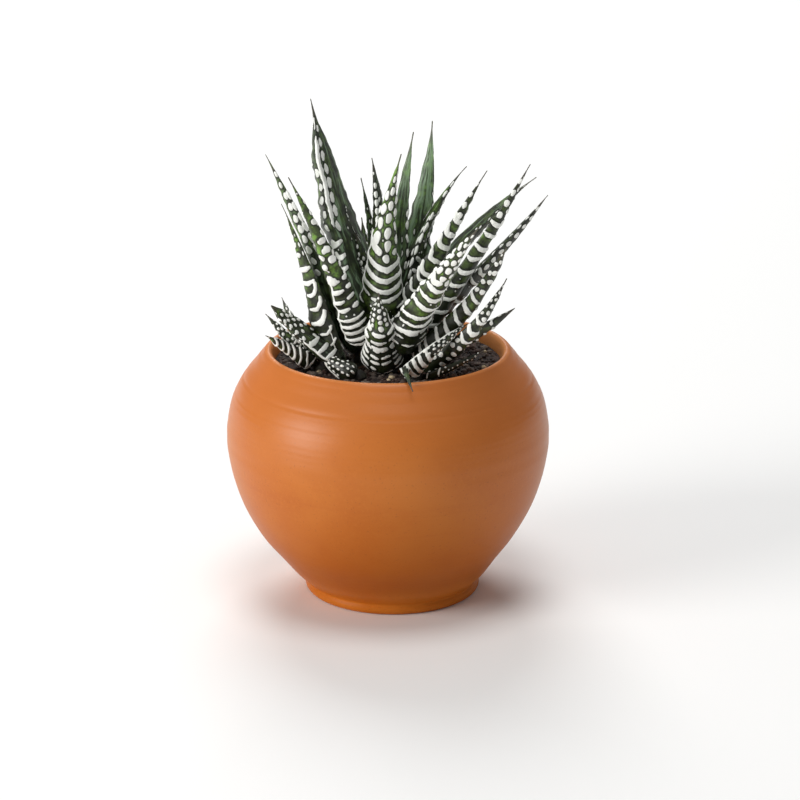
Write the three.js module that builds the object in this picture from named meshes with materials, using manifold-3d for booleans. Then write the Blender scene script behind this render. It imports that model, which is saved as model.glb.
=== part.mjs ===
// Zebra haworthia in a rounded terracotta pot. Millimetres, +Z up, origin at the centre of the foot.
import * as THREE from 'three';
import { mergeVertices } from 'three/addons/utils/BufferGeometryUtils.js';
import Module from 'manifold-3d';

const wasm = await Module();
wasm.setup();

// Driving dimensions
const gap = 0.3;
const potHeight = 86;
const bellyRadius = 55;
const mouthRadius = 38.4;
const wall = 5;
const floorTop = 7.5;
const footRecess = 1.5;
const drainRadius = 5;
const turnSegments = 40;
const soilTop = 81.6;
const soilLump = 0.4;
const plantBase = 82;
const plantFoot = plantBase + gap;
const tipWidth = 1.3;
const ridgeHeight = 0.5;
const frontRings = 20;
const backRings = 12;
const offsetRings = 16;

// Pot outline from the foot ring up to the lip, radius and height
const outerProfile = [
  [25.2, 0], [29.4, 0], [30.7, 1.6], [29.7, 4], [33.9, 8.1], [38.3, 14.2], [44.4, 22.4], [49.8, 32.2],
  [53.2, 42.4], [bellyRadius, 54], [54, 64.5], [50.6, 73], [46, 79.8], [42.6, 84.7], [41, potHeight],
  [39.2, 85.6], [mouthRadius, 83.9],
];
// Inside of the wall, from the lip down to the floor
const innerProfile = [
  [mouthRadius, 80.6], [45, 72.6], [bellyRadius - wall - 0.6, 62], [bellyRadius - wall, 52],
  [47.3, 40.5], [41.9, 28.4], [33.3, 17], [24.4, floorTop],
];

function toManifold(geometry) {
  const bare = geometry.index ? geometry.toNonIndexed() : geometry.clone();
  bare.deleteAttribute('normal');
  bare.deleteAttribute('uv');
  const merged = mergeVertices(bare, 1e-4);
  return new wasm.Manifold(new wasm.Mesh({
    numProp: 3,
    vertProperties: new Float32Array(merged.attributes.position.array),
    triVerts: new Uint32Array(merged.index.array),
  }));
}

// One closed body: the largest shell, with any small hollow sealed between leaves filled
function oneBody(solid) {
  return solid.decompose().sort((a, b) => b.volume() - a.volume())[0];
}

function toMesh(name, solid, color, roughness) {
  const data = oneBody(solid).getMesh();
  const geometry = new THREE.BufferGeometry();
  geometry.setAttribute('position', new THREE.BufferAttribute(new Float32Array(data.vertProperties), 3));
  geometry.setIndex(new THREE.BufferAttribute(new Uint32Array(data.triVerts), 1));
  geometry.computeVertexNormals();
  const mesh = new THREE.Mesh(geometry, new THREE.MeshStandardMaterial({ color, roughness }));
  mesh.name = name;
  return mesh;
}

// A turned body about the Z axis; closed outlines keep clear of the axis or end on it
function turned(points, closed) {
  const outline = points.map(([r, z]) => new THREE.Vector2(r, z));
  if (closed) outline.push(outline[0].clone());
  return new THREE.LatheGeometry(outline, turnSegments).rotateX(Math.PI / 2);
}

function rod(x, y, radius, z0, z1, sides) {
  return toManifold(new THREE.CylinderGeometry(radius, radius, z1 - z0, sides)
    .rotateX(Math.PI / 2).translate(x, y, (z0 + z1) / 2));
}

// Pot
const pot = toManifold(turned([
  ...outerProfile, ...innerProfile,
  [drainRadius, floorTop], [drainRadius, footRecess], [24.6, footRecess],
], true));

// Soil: fills the pot inside the wall, lumpy on top
const lump = (x, y) => soilLump * (0.5 * Math.sin(x * 0.61 + 1.3) * Math.cos(y * 0.53)
  + 0.3 * Math.sin(x * 1.27 - y * 0.94) + 0.2 * Math.cos(x * 0.37 + y * 1.71 + 0.6));
const soilSides = innerProfile.map(([r, z]) => [r - gap, z]).reverse();
soilSides[0] = [innerProfile[innerProfile.length - 1][0] - 2 * gap, floorTop];
const soilGeometry = turned([
  [0, floorTop], ...soilSides,
  ...[38.1, 33.5, 28, 22, 15, 8, 0].map((r) => [r, soilTop]),
], false);
const soilPoints = soilGeometry.attributes.position;
for (let i = 0; i < soilPoints.count; i++) {
  const x = soilPoints.getX(i);
  const y = soilPoints.getY(i);
  if (soilPoints.getZ(i) > soilTop - 0.1 && Math.hypot(x, y) < 38) {
    soilPoints.setZ(i, soilTop + lump(x, y));
  }
}

// Leaf cross-sections: flat inner face, keeled and rounded back; x across, y towards the inner face
const fullSection = [
  [0.5, 0], [0.41, -0.24], [0.22, -0.41], [0, -0.5], [-0.22, -0.41], [-0.41, -0.24], [-0.5, 0],
];
const plainSection = [[0.5, 0], [0.33, -0.34], [0, -0.5], [-0.33, -0.34], [-0.5, 0]];

function polar(centre, azimuth, radius, z) {
  const a = THREE.MathUtils.degToRad(azimuth);
  return new THREE.Vector3(centre[0] + radius * Math.cos(a), centre[1] + radius * Math.sin(a), z);
}

// One leaf: a tapering keeled blade along a bent axis, ridged across its back or grown all round
function leaf(centre, spec, section, rings, ridge, grow) {
  const [tipAzimuth, reach, rise, rootAzimuth, foot, lift, bow, sway, width, taper, turn] = spec;
  const root = polar(centre, rootAzimuth, foot, plantBase + lift);
  const tip = polar(centre, tipAzimuth, reach, plantBase + rise);
  const chord = tip.clone().sub(root).normalize();
  const out = polar([0, 0], rootAzimuth, 1, 0);
  const inner = out.clone().addScaledVector(chord, -out.dot(chord)).negate().normalize();
  const side = chord.clone().cross(inner);
  const bend = root.clone().add(tip).multiplyScalar(0.5)
    .addScaledVector(inner, -bow).addScaledVector(side, sway);
  const axis = new THREE.QuadraticBezierCurve3(root, bend, tip);
  const roll = THREE.MathUtils.degToRad(turn);
  const faceUp = inner.clone().multiplyScalar(Math.cos(roll)).addScaledVector(side, Math.sin(roll));

  const geometry = new THREE.CylinderGeometry(1, 1, 1, section.length, rings);
  const points = geometry.attributes.position;
  for (let i = 0; i < points.count; i++) {
    const s = points.getY(i) + 0.5;
    const k = Math.round(Math.atan2(points.getX(i), points.getZ(i)) / (2 * Math.PI) * section.length);
    const [across, deep] = section[(k + section.length) % section.length];
    const fill = Math.min(1, Math.hypot(points.getX(i), points.getZ(i)));
    const along = axis.getTangent(s);
    const up = faceUp.clone().addScaledVector(along, -faceUp.dot(along)).normalize();
    const over = along.clone().cross(up);
    const start = Math.max(0, 1 - s / 0.16);
    const full = width * Math.pow(1 - s, taper) * Math.sqrt(1 - 0.85 * start * start);
    const w = Math.max(full, tipWidth);
    const crest = Math.round(s * rings) % 2 === 1 && s > 0.04 && s < 0.97 ? ridge * Math.min(1, w / 5) : 0;
    const at = axis.getPoint(s)
      .addScaledVector(over, across * (w + 2 * grow + 0.6 * crest) * fill)
      .addScaledVector(up, (deep * (w + 4 * grow + 2 * crest) + grow) * fill);
    points.setXYZ(i, at.x, at.y, at.z);
  }
  return toManifold(geometry);
}

// Stems: centre, size of the low crown that the leaves grow from, and of the stub that stands in the soil
const mainStem = { centre: [-1, -3], radius: 11, height: 15, stubRadius: 5.5, stubDepth: 9 };
const leftStem = { centre: [-21.5, -9], radius: 5, height: 6, stubRadius: 3, stubDepth: 7 };
const rightStem = { centre: [9, -22], radius: 4.5, height: 5, stubRadius: 2.6, stubDepth: 7 };
// Side shoots of the left offset, nearer the front, with no stub of their own
const shootStem = { centre: [-12, -17], radius: 5, height: 7 };
const budStem = { centre: [-9.3, -19], radius: 4, height: 4.5 };
const runnerRadius = 2;

// Main rosette. Each leaf: tip bearing and reach from the stem, tip height above the soil, root bearing,
// root distance and height, outward bow, sideways sway, width, taper, twist
const mainLeaves = [
  [154, 27.5, 88, 154, 1.5, 13.5, 1.7, -2.4, 21, 0.73, -4],
  [184, 39.5, 72.5, 184, 8.5, 4, -2.5, 1, 12, 0.75, 22],
  [218, 39.5, 70, 218, 9.5, 8, -3, 0, 12.5, 0.95, 22],
  [193, 35, 57, 192, 11, 0.5, 1.5, -4.5, 10, 0.62, 15],
  [130, 12.5, 61.5, 130, 1.5, 10, -1.5, 2, 7, 0.85, 0],
  [131, 6.5, 69.5, 150, 1.5, 11, -3, 4, 11, 0.75, 40],
  [-72, 18, 76, -95, 4, 10.5, -5, 6, 18.5, 1.15, 0],
  [53, 16, 76.5, 70, 3.5, 10, 0, -2, 13, 0.95, 0],
  [55, 28, 78, 62, 4.5, 8.5, 2, 4.5, 18, 1, 10],
  [30, 32, 64, 30, 3.5, 10.5, -9, -6, 15, 1.05, -15],
  [-18, 35.5, 69, -18, 1, 9.5, -1, 0.5, 14.5, 1.05, -28],
  [-12, 49, 71, -12, 6.5, 5, 3, 1, 11.5, 0.8, -32],
  [18, 54, 60, 18, 3, 10, -6, -7, 14, 0.9, 6],
  [-52, 49.5, 57, -52, 6.5, 6.5, -1.5, 2.5, 15.5, 0.85, -25],
  [2, 54.5, 57.5, 2, 3, 7.5, 3.5, -0.5, 12.5, 0.7, -6],
  [-36, 49, 47.5, -36, 11, 3.5, 4, -7, 9, 0.6, -32],
  [-25, 44.5, 34.5, -25, 11, 1, 7, 4, 9, 0.7, -32],
  [-12, 44.5, 21.5, -12, 11, 1, 1, 4, 9, 0.85, -20],
  [150, 11.5, 43.5, 150, 2.5, 10.5, -2, 1, 10, 0.6, 0],
  [-95, 21, 30, -96, 7, 1.5, 1, 0.5, 15.5, 0.85, 0],
];
// Leaves of the far side: two whorls by rule, upright inside and low outside
const backLeaves = [];
for (let i = 0; i < 5; i++) {
  backLeaves.push([46 + 26 * i, 38 - 2.5 * (i % 2), 24 + 5 * (i % 3), 46 + 26 * i, 9, 2, 3, 0, 11, 0.75, 0]);
}
for (let i = 0; i < 4; i++) {
  backLeaves.push([60 + 24 * i, 26 + i % 2, 44 + 3 * (i % 2), 60 + 24 * i, 5, 6, 2, 0, 10.5, 0.8, 0]);
}
// Young leaves in the heart of the rosette
for (let i = 0; i < 3; i++) {
  backLeaves.push([-150 + 120 * i, 4, 36 + 3 * i, -150 + 120 * i, 1.5, 11, -1, 0, 7.5, 0.7, 0]);
}

// Offsets at the left and at the right front
const leftLeaves = [
  [150, 16.5, 22, 150, 0, 5, 2, -1, 9.5, 0.75, 35],
  [185, 19.5, 19, 185, 3, 1, -0.5, 0.5, 9, 0.8, 35],
  [200, 20.5, 13, 200, 3, 2.5, -0.5, 4, 10, 0.8, 30],
];
const shootLeaf = [174.5, 27, 23, 150, 4.2, 5, 3.9, 1.2, 10.5, 0.5, 15];
const budLeaf = [157.5, 13, 4.7, 215, 2, 0.2, 2, -1.3, 8, 0.5, 0];
const rightLeaves = [
  [10, 18, 18, 10, -3.5, 2, -4, 6, 9.5, 0.85, -45],
  [10, 23.5, 8.5, 8, 3, 0.5, 0, 4.5, 4.5, 0.65, -40],
  [-91.7, 23, 2.5, -135, 3.5, 2.5, 3.5, 8.6, 4.5, 0.65, 90],
];

function crown({ centre, radius, height }) {
  const outline = [[0, 0], [1, 0], [0.96, 0.25], [0.72, 0.62], [0.35, 0.92], [0, 1]]
    .map(([r, h]) => new THREE.Vector2(r * radius, h * height));
  return toManifold(new THREE.LatheGeometry(outline, 14).rotateX(Math.PI / 2)
    .translate(centre[0], centre[1], plantFoot));
}

const stub = ({ centre, stubRadius, stubDepth }, clear, top) =>
  rod(...centre, stubRadius + clear, plantBase - stubDepth - clear, top, 16);

const aboveSoil = toManifold(new THREE.BoxGeometry(200, 200, 150).translate(0, 0, 75 + plantFoot));

// The leaves' roots sink into the crown and are trimmed level just above the soil
function rosette(stem, blades) {
  const leaves = blades.map((blade) => leaf(stem.centre, ...blade, ridgeHeight, 0));
  return leaves.reduce((body, one) => body.add(one), crown(stem))
    .intersect(aboveSoil)
    .add(stub(stem, 0, plantFoot + 1));
}

const blades = (specs, section, rings) => specs.map((spec) => [spec, section, rings]);
const mainRosette = rosette(mainStem, [
  ...blades(mainLeaves, fullSection, frontRings),
  ...blades(backLeaves, plainSection, backRings),
]);

// A runner joins the side shoots to the left offset's stem
function sideShoots() {
  const x = leftStem.centre[0] - shootStem.centre[0];
  const y = leftStem.centre[1] - shootStem.centre[1];
  const runner = toManifold(new THREE.CapsuleGeometry(runnerRadius, Math.hypot(x, y), 4, 8)
    .rotateZ(Math.atan2(-x, y))
    .translate(shootStem.centre[0] + x / 2, shootStem.centre[1] + y / 2, plantBase + runnerRadius));
  return crown(shootStem)
    .add(leaf(shootStem.centre, shootLeaf, fullSection, offsetRings, ridgeHeight, 0))
    .add(crown(budStem))
    .add(leaf(budStem.centre, budLeaf, fullSection, offsetRings, ridgeHeight, 0))
    .add(runner)
    .intersect(aboveSoil);
}

// The offsets are cut clear of the neighbouring leaves of the main rosette
const clearance = (indices) => indices
  .map((i) => leaf(mainStem.centre, mainLeaves[i], fullSection, frontRings, 0, ridgeHeight + gap))
  .reduce((all, one) => all.add(one));
const leftRosette = rosette(leftStem, blades(leftLeaves, fullSection, offsetRings))
  .add(sideShoots())
  .subtract(clearance([0, 1, 2, 3, 19]));
const rightRosette = rosette(rightStem, blades(rightLeaves, fullSection, offsetRings))
  .subtract(clearance([13, 15, 16, 17, 19]));

const soil = [mainStem, leftStem, rightStem].reduce(
  (body, stem) => body.subtract(stub(stem, gap, plantBase + 5)),
  toManifold(soilGeometry),
);

const group = new THREE.Group();
group.name = 'potted_haworthia';
group.add(
  toMesh('pot', pot, 0xc46f41, 0.85),
  toMesh('soil', soil, 0x3b352f, 1),
  toMesh('rosette_main', mainRosette, 0x5b7348, 0.55),
  toMesh('rosette_left', leftRosette, 0x5f784a, 0.55),
  toMesh('rosette_right', rightRosette, 0x4f6840, 0.55),
);
export default group;
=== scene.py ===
import math
import random

import bmesh
import bpy
import numpy as np
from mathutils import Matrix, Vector, noise


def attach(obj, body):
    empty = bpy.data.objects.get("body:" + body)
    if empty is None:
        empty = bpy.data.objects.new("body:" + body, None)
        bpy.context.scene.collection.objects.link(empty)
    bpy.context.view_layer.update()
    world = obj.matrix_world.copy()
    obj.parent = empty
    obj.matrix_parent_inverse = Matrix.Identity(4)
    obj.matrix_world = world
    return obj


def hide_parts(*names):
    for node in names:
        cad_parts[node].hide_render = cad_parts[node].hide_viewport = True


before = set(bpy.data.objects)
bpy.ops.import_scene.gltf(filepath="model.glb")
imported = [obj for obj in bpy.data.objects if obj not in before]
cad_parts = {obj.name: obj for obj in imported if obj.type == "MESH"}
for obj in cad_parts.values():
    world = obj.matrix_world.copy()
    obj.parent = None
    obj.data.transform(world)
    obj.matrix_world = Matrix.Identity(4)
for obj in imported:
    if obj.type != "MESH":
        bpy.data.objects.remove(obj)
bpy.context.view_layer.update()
print("frame loaded:", ", ".join(sorted(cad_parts)))

mm = 0.001
scene = bpy.context.scene


def asMesh(bm, name):
    mesh = bpy.data.meshes.new(name)
    bm.to_mesh(mesh)
    bm.free()
    return mesh


def addObject(name, data):
    added = bpy.data.objects.new(name, data)
    scene.collection.objects.link(added)
    return added


# Camera: place and lens in millimetres, pitch in degrees, clip distances in metres

camera = {"place": (4.1, -969, 382), "pitch": 72, "lens": 134.4, "sensor": 36, "clip": (0.05, 20)}


def buildCamera():
    data = bpy.data.cameras.new("camera")
    data.lens = camera["lens"]
    data.sensor_width = camera["sensor"]
    data.clip_start, data.clip_end = camera["clip"]
    view = addObject("camera", data)
    view.location = Vector(camera["place"]) * mm
    view.rotation_euler = (math.radians(camera["pitch"]), 0, 0)
    scene.camera = view
    print("camera set")


# Shader helpers


def rgb(red, green, blue):  # a screen colour from 0 to 255, as Blender's linear one
    parts = [c / 255 for c in (red, green, blue)]
    return tuple(c / 12.92 if c <= 0.04045 else ((c + 0.055) / 1.055) ** 2.4 for c in parts) + (1,)


def setSocket(tree, socket, value):
    if isinstance(value, bpy.types.NodeSocket):
        tree.links.new(value, socket)
    else:
        socket.default_value = value


def addNode(tree, kind, inputs=None, **settings):
    node = tree.nodes.new("ShaderNode" + kind)
    for name, value in settings.items():
        setattr(node, name, value)
    for name, value in (inputs or {}).items():
        setSocket(tree, node.inputs[name], value)
    return node


def mixColour(tree, factor, first, second):
    node = addNode(tree, "Mix", data_type="RGBA")
    for socket, value in zip((node.inputs[0], node.inputs[6], node.inputs[7]), (factor, first, second)):
        setSocket(tree, socket, value)
    return node.outputs[2]


# Paints laid over one another, each as strong as its factor
def layered(tree, paints, colour, layers):
    for factor, name in layers:
        colour = mixColour(tree, factor, colour, paints[name])
    return colour


def maths(tree, operation, first, second):
    node = addNode(tree, "Math", operation=operation)
    setSocket(tree, node.inputs[0], first)
    setSocket(tree, node.inputs[1], second)
    return node.outputs[0]


def remap(tree, value, low, high, toLow=0.0, toHigh=1.0):
    span = {"Value": value, "From Min": low, "From Max": high, "To Min": toLow, "To Max": toHigh}
    return addNode(tree, "MapRange", span, interpolation_type="SMOOTHSTEP").outputs[0]


def noiseAt(tree, place, scale, detail, roughness=0.55):
    inputs = {"Vector": place, "Scale": scale, "Detail": detail, "Roughness": roughness}
    return addNode(tree, "TexNoise", inputs).outputs[0]


def stretched(tree, place, scale):
    return addNode(tree, "Mapping", {"Vector": place, "Scale": scale}).outputs[0]


def newMaterial(name):
    material = bpy.data.materials.new(name)
    material.use_nodes = True
    tree = material.node_tree
    tree.nodes.clear()
    place = addNode(tree, "TexCoord").outputs["Object"]
    shader = addNode(tree, "BsdfPrincipled")
    output = addNode(tree, "OutputMaterial")
    tree.links.new(shader.outputs[0], output.inputs[0])
    return material, tree, place, shader


def addBump(tree, shader, height, strength, distance):
    inputs = {"Height": height, "Strength": strength, "Distance": distance}
    tree.links.new(addNode(tree, "Bump", inputs).outputs[0], shader.inputs["Normal"])


# Piece helpers


def newPiece(name, bm, material, node):
    mesh = asMesh(bm, name)
    mesh.shade_smooth()
    mesh.materials.append(material)
    piece = addObject(name, mesh)
    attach(piece, "root")
    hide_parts(node)
    print(f"{name}: {len(mesh.polygons)} faces")


# A smooth curve through the points of an outline, with about one point for each step
def smoothRun(points, step):
    points = np.array(points, float)
    ends = np.vstack([2 * points[0] - points[1], points, 2 * points[-1] - points[-2]])
    run = []
    for a, b, c, d in zip(ends, ends[1:], ends[2:], ends[3:]):
        count = max(1, round(float(np.linalg.norm(c - b)) / step))
        for t in np.arange(count)[:, None] / count:
            run.append(0.5 * (2 * b + (c - a) * t + (2 * a - 5 * b + 4 * c - d) * t**2
                              + (3 * b - a - 3 * c + d) * t**3))
    run.append(points[-1])
    return np.array(run)


# An outline of radius and height, turned round an upright axis
def turned(outline, steps, centre=(0, 0), closed=False):
    bm = bmesh.new()
    verts = [bm.verts.new((r * mm, 0, z * mm)) for r, z in outline]
    edges = [bm.edges.new(pair) for pair in zip(verts, verts[1:])]
    if closed:
        edges.append(bm.edges.new((verts[-1], verts[0])))
    bmesh.ops.spin(bm, geom=verts + edges, cent=(0, 0, 0), axis=(0, 0, 1), dvec=(0, 0, 0),
                   angle=2 * math.pi, steps=steps, use_merge=True)
    bmesh.ops.remove_doubles(bm, verts=bm.verts, dist=1e-6)
    bmesh.ops.recalc_face_normals(bm, faces=bm.faces)
    bmesh.ops.translate(bm, verts=bm.verts, vec=(centre[0] * mm, centre[1] * mm, 0))
    return bm


# Pot, radius and height in millimetres

pot = {
    "outer": [(25.2, 0), (27.4, 0), (28.8, 0.1), (29.7, 0.7), (30.1, 1.7), (29.9, 2.7), (29.4, 3.5),
              (30.1, 4.5), (33.6, 8), (38.2, 14), (44.25, 22), (49.7, 32), (53.1, 42), (54.8, 51),
              (55, 55.5), (54.8, 60), (53.2, 68), (49.8, 75), (45.2, 81), (42.6, 84.3), (41.4, 85.6),
              (40.4, 86), (39.7, 85.6), (39.2, 84.6), (38.85, 83.3), (38.6, 82), (38.4, 80.6)],
    "inner": [(38.4, 80.6), (41.4, 77.4), (45, 72.6), (48.2, 66.6), (49.4, 62), (50, 52), (47.3, 40.5),
              (41.9, 28.4), (33.3, 17), (24.4, 7.5)],
    "drain": [(5, 7.5), (5, 1.5), (24.6, 1.5)],
    "outerStep": 0.5, "innerStep": 3, "turns": 176,
    # Fine wheel rings outside a radius: heights, how softly they start and end, pitch and depth
    "ringRadius": 41, "ringZone": (58, 84), "ringFade": (8, 3), "ringPitch": 2.3, "ringDepth": 0.025,
    # Throwing marks: height, spread and depth, with a negative depth for a ridge
    "grooves": [(83.7, 0.5, 0.09), (80.3, 0.5, 0.06), (78.2, 0.9, -0.05), (76, 0.34, 0.16),
                (74.4, 0.8, -0.04), (71.2, 0.4, 0.05), (66.4, 0.5, 0.04)],
    # The foot stands a little off the axis: shift at the ground, height where it ends, and its curve
    "footShift": (1.6, 24, 1.5),
}
clay = {
    "body": rgb(191, 104, 29), "pale": rgb(201, 116, 40), "deep": rgb(176, 86, 23),
    # foot: painted shade for the lower body of the pot
    "speck": rgb(128, 70, 36), "foot": rgb(132, 56, 16), "shoulder": rgb(195, 110, 50),
    # inside: painted light on the lit inside of the lip, and a painted highlight along its crest
    "inside": rgb(250, 164, 94),
    "cloudScale": 26, "wheelScale": (12, 12, 340), "grainScale": 900, "speckScale": 1500,
    # Heights in metres: where the painted shade at the bottom of the pot starts, is darkest and ends, and
    # the shoulder's paler zone
    "low": (0.005, 0.013, 0.058), "high": (0.05, 0.08), "crest": (0.0853, 0.0859),
    # Painted light on the inside of the lip, lighter towards the right where the wall faces the lamp:
    # distance from the axis, height, and place across
    "lipReach": (0.0405, 0.0395), "lipRise": (0.07, 0.078), "lipLightSide": (-0.03, 0.02),
    "glossRise": (0.02, 0.06), "gloss": (0.08, 0.36), "roughness": (0.34, 0.4), "bump": (0.35, 0.00022),
}


def potMaterial():
    material, tree, place, shader = newMaterial("terracotta")
    cloud = noiseAt(tree, place, clay["cloudScale"], 4)
    wheel = noiseAt(tree, stretched(tree, place, clay["wheelScale"]), 1, 5, 0.6)
    grain = noiseAt(tree, place, clay["grainScale"], 2)
    speck = noiseAt(tree, place, clay["speckScale"], 0)
    parts = addNode(tree, "SeparateXYZ", {"Vector": place})
    rise, right = parts.outputs["Z"], parts.outputs["X"]
    level = stretched(tree, place, (1, 1, 0))
    reach = addNode(tree, "VectorMath", {"Vector": level}, operation="LENGTH").outputs["Value"]

    # Painted shade low on the pot, darkest just above the foot ring and fading out towards the belly
    start, darkest, end = clay["low"]
    low = maths(tree, "MULTIPLY", remap(tree, rise, start, darkest, 0.1, 1),
                remap(tree, rise, darkest, end, 0.5, 0))
    # Painted light: the inside of the lip is lighter towards the right, where it faces the lamp
    paintedLipLight = maths(tree, "MULTIPLY", remap(tree, reach, *clay["lipReach"]),
                   remap(tree, rise, *clay["lipRise"]))
    paintedLipLight = maths(tree, "MULTIPLY", paintedLipLight, remap(tree, right, *clay["lipLightSide"], 0.2, 1))
    colour = layered(tree, clay, clay["body"], [
        (remap(tree, cloud, 0.35, 0.7), "pale"),
        (remap(tree, wheel, 0.5, 0.8, 0, 0.22), "deep"),
        (remap(tree, grain, 0.5, 0.7, 0, 0.35), "pale"),
        (remap(tree, speck, 0.72, 0.8, 0, 0.25), "speck"),
        (low, "foot"),
        (remap(tree, rise, *clay["high"], 0, 0.75), "shoulder"),
        (paintedLipLight, "inside"),
        # painted highlight along the crest of the lip
        (remap(tree, rise, *clay["crest"], 0, 0.3), "inside"),
    ])
    setSocket(tree, shader.inputs["Base Color"], colour)
    gloss = remap(tree, rise, *clay["glossRise"], *clay["gloss"])
    setSocket(tree, shader.inputs["Specular IOR Level"], gloss)
    setSocket(tree, shader.inputs["Roughness"], remap(tree, cloud, 0.3, 0.7, *clay["roughness"]))
    height = maths(tree, "ADD", maths(tree, "MULTIPLY", wheel, 0.6), maths(tree, "MULTIPLY", grain, 0.25))
    addBump(tree, shader, height, *clay["bump"])
    return material


def buildPot():
    outer = smoothRun(pot["outer"], pot["outerStep"])
    low, high = pot["ringZone"]
    fadeLow, fadeHigh = pot["ringFade"]
    outside = outer[:, 0] > pot["ringRadius"]
    r, z = outer[outside].T
    fade = np.clip((z - low) / fadeLow, 0, 1) * np.clip((high - z) / fadeHigh, 0, 1)
    r = r - pot["ringDepth"] * fade * (1 + np.sin(2 * math.pi * z / pot["ringPitch"] + 0.8 * np.sin(z)))
    for height, spread, depth in pot["grooves"]:
        r = r - depth * np.exp(-(((z - height) / spread) ** 2))
    outer[outside, 0] = r
    inner = smoothRun(pot["inner"], pot["innerStep"])
    outline = np.vstack([outer, inner[1:], pot["drain"]])
    bm = turned(outline, pot["turns"], closed=True)
    shift, top, curve = pot["footShift"]
    for v in bm.verts:
        v.co.x += shift * mm * max(0, 1 - v.co.z / mm / top) ** curve
    newPiece("potBody", bm, potMaterial(), "pot")


# Soil, in millimetres

soil = {
    "top": 81.3, "radius": 38.1, "ring": 0.7, "turns": 190,
    "side": [(23.8, 7.5), (33, 17), (41.6, 28.4), (47, 40.5), (49.7, 52), (49.1, 62), (44.7, 72.6),
             (38.1, 80.4)],
    # Lumps on top, height and width, which sink to a third towards the pot's wall
    "lumps": [(0.9, 7), (0.35, 1.6), (0.175, 0.7)], "edge": 1.5,
    "crumbs": 2600, "crumbSize": (0.28, 1.2), "roundFrom": 0.9, "stretch": (0.6, 1.3),
    "flatten": (0.45, 0.9), "rough": 0.35, "lift": 0.15, "pale": 0.035, "seed": 5,
    # Pale grains: place and size
    "grains": [(0.4, -22.8, 0.75), (-8, -22.2, 0.4), (-37, -5, 0.5), (-33, -12, 0.35), (24, -20, 0.35),
               (30, -12, 0.3)],
}
peat = {
    "dark": rgb(26, 18, 16), "brown": rgb(66, 46, 38), "grey": rgb(128, 116, 106), "warm": rgb(92, 52, 42),
    "pale": rgb(190, 172, 140), "patchScale": 160, "fineScale": 1300, "roughness": 0.9,
    "bump": (0.7, 0.0004),
}


def soilMaterial():
    material, tree, place, shader = newMaterial("pottingSoil")
    kind = addNode(tree, "Attribute", attribute_name="kind").outputs["Fac"]
    patch = noiseAt(tree, place, peat["patchScale"], 3)
    fine = noiseAt(tree, place, peat["fineScale"], 4, 0.7)
    colour = layered(tree, peat, peat["dark"], [
        (remap(tree, patch, 0.4, 0.65), "brown"),
        (remap(tree, fine, 0.5, 0.75, 0, 0.6), "warm"),
        (remap(tree, kind, 0.3, 0.9, 0, 0.8), "grey"),
        (remap(tree, kind, 0.93, 0.99), "pale"),
    ])
    setSocket(tree, shader.inputs["Base Color"], colour)
    shader.inputs["Roughness"].default_value = peat["roughness"]
    addBump(tree, shader, fine, *peat["bump"])
    return material


def soilHeight(x, y):
    place = Vector((x, y, 3.1))
    return sum((height * noise.noise(place / width) for height, width in soil["lumps"]), soil["top"])


def addCrumb(bm, number, kind, draw):
    smallest, largest = soil["crumbSize"]
    size = smallest + (largest - smallest) * draw.random() ** 3
    reach = (soil["radius"] - size - 0.2) * math.sqrt(draw.random())
    bearing = draw.uniform(0, 2 * math.pi)
    x, y = reach * math.cos(bearing), reach * math.sin(bearing)
    placed = number < len(soil["grains"])
    if placed:
        x, y, size = soil["grains"][number]
    detail = 2 if size > soil["roundFrom"] else 1
    made = bmesh.ops.create_icosphere(bm, subdivisions=detail, radius=size * mm)
    stretch = Vector([draw.uniform(*soil[side]) for side in ("stretch", "stretch", "flatten")])
    shade = 1.0 if draw.random() < soil["pale"] or placed else draw.random()
    turn = draw.uniform(0, math.pi)
    lift = soilHeight(x, y) + size * soil["lift"]
    for v in made["verts"]:
        rough = 1 + soil["rough"] * noise.noise(v.co / mm * 1.7 + Vector((number, 0, 0)))
        p = Vector((v.co.x * stretch.x, v.co.y * stretch.y, v.co.z * stretch.z)) * rough
        v.co = (p.x * math.cos(turn) - p.y * math.sin(turn) + x * mm,
                p.x * math.sin(turn) + p.y * math.cos(turn) + y * mm, p.z + lift * mm)
        v[kind] = shade * 0.9 if shade < 1 else 1.0


def buildSoil():
    top, radius = soil["top"], soil["radius"]
    rings = np.arange(radius, 0, -soil["ring"])
    outline = [(0, soil["side"][0][1])] + soil["side"] + [(r, top) for r in rings] + [(0, top)]
    bm = turned(outline, soil["turns"])
    for v in bm.verts:
        x, y, z = v.co / mm
        if z > top - 0.1:
            edge = min(1, (radius - math.hypot(x, y)) / soil["edge"])
            v.co.z = (top + (soilHeight(x, y) - top) * (0.3 + 0.7 * edge)) * mm
    kind = bm.verts.layers.float.new("kind")
    draw = random.Random(soil["seed"])
    for number in range(soil["crumbs"]):
        addCrumb(bm, number, kind, draw)
    newPiece("soilBed", bm, soilMaterial(), "soil")


# Leaves, in millimetres

plantBase = 82
mainCentre = (-1, -3)
leftCentre = (-21.5, -9)
shootCentre = (-12, -17)
budCentre = (-9.3, -19)
rightCentre = (9, -22)
# Form of every leaf: shares of its width or length, sizes in millimetres, and the spreads of its waves
blade = {
    "keel": 0.06, "crown": 0.05, "marginRound": 0.15, "neck": (0.16, 0.85), "tipWidth": 0.45,
    "edgeWave": (0.14, 5), "edgeSway": (0.06, 7), "wobble": (0.26, 2.6, 2.2),
    "relief": 0.36, "dome": 0.45, "ripple": (0.09, 3.2), "furrow": (0.02, 5.2),
    # A leaf narrower than the first has less relief, down to the second as a share
    "thinning": (3.0, 0.12),
    "axisPoints": 80, "fewestRows": 24, "fewestBack": 14, "fewestFront": 8, "dressedCells": 0.9,
    "plainCells": 0.5,
}
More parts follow.
